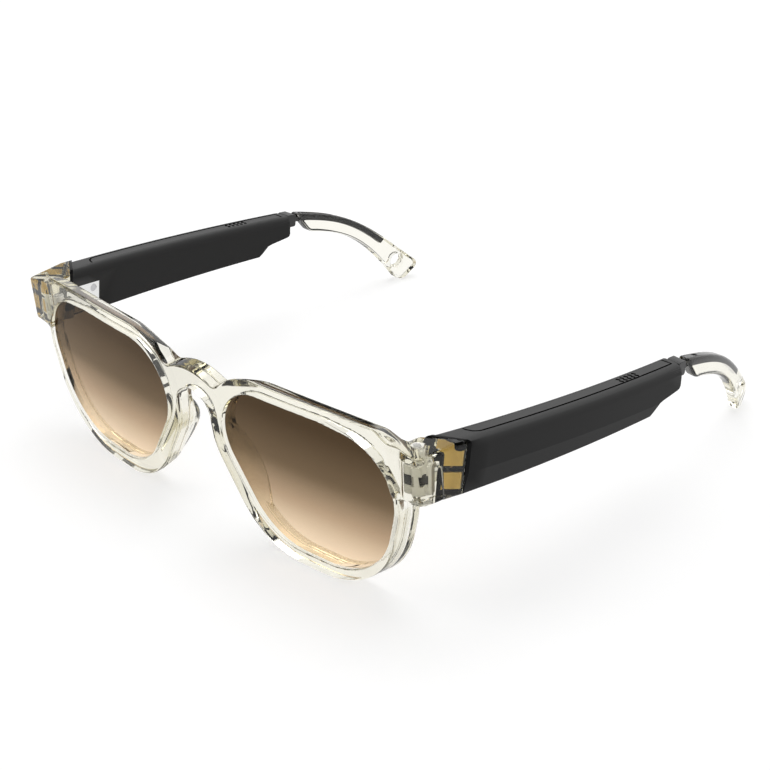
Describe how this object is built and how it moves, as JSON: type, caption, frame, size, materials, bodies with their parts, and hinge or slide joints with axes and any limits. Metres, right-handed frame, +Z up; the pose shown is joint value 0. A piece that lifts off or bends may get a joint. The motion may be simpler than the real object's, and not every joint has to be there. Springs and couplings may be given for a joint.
{
  "type": "smart glasses",
  "caption": "Smart glasses with a clear front, brown gradient lenses and slim folding temples that hold battery, board, speaker and gold contacts at the joint.",
  "frame": {"origin": "middle of the box around the glasses at table level, temples open", "axes": "-Y the way the wearer looks, +X to the wearer's left, +Z up from the table the glasses rest on"},
  "size_m": [0.146, 0.1397, 0.0456],
  "materials": {
    "clear_plastic": "clear polished",
    "tinted_lens": "brown gradient, polished",
    "hinge_steel": "satin",
    "pin_steel": "turned",
    "black_matt": "fine matt",
    "black_lid": "fine matt",
    "black_gloss": "gloss",
    "gold": "gold plated, brushed",
    "battery_foil": "foil pouch",
    "board": "solder mask",
    "driver": "moulded",
    "mesh": "woven, dark",
    "mic_can": "stamped can",
    "flex": "film",
    "black_core": "matt"
  },
  "bodies": {
    "front": {"front_frame": "clear_plastic", "lens_left": "tinted_lens", "lens_right": "tinted_lens", "nose_pad_left": "clear_plastic", "nose_pad_right": "clear_plastic", "hinge_front_leaf_left": "hinge_steel", "hinge_front_leaf_right": "hinge_steel", "hinge_pin_left": "pin_steel", "hinge_pin_right": "pin_steel"},
    "temple_left": {"temple_housing_left": "black_matt", "temple_lid_left": "black_lid", "end_cap_left": "black_gloss", "contact_upper_left": "gold", "contact_lower_left": "gold", "hinge_temple_leaf_left": "hinge_steel", "leaf_screws_left": "pin_steel", "battery_left": "battery_foil", "circuit_board_left": "board", "speaker_left": "driver", "slot_mesh_left": "mesh", "microphone_left": "mic_can", "contact_flex_left": "flex", "tip_core_left": "black_core", "tip_collar_left": "black_core", "temple_tip_left": "clear_plastic"},
    "temple_right": {"temple_housing_right": "black_matt", "temple_lid_right": "black_lid", "end_cap_right": "black_gloss", "contact_upper_right": "gold", "contact_lower_right": "gold", "hinge_temple_leaf_right": "hinge_steel", "leaf_screws_right": "pin_steel", "battery_right": "battery_foil", "circuit_board_right": "board", "speaker_right": "driver", "slot_mesh_right": "mesh", "microphone_right": "mic_can", "contact_flex_right": "flex", "tip_core_right": "black_core", "tip_collar_right": "black_core", "temple_tip_right": "clear_plastic"}
  },
  "joints": [
    {"name": "fold_left", "type": "hinge", "parent": "front", "child": "temple_left", "pos_m": [0.06145, -0.05859, 0.03387], "axis": [0, 0, 1], "range_deg": [0, 90]},
    {"name": "fold_right", "type": "hinge", "parent": "front", "child": "temple_right", "pos_m": [-0.06145, -0.05859, 0.03387], "axis": [0, 0, -1], "range_deg": [0, 76]}
  ]
}
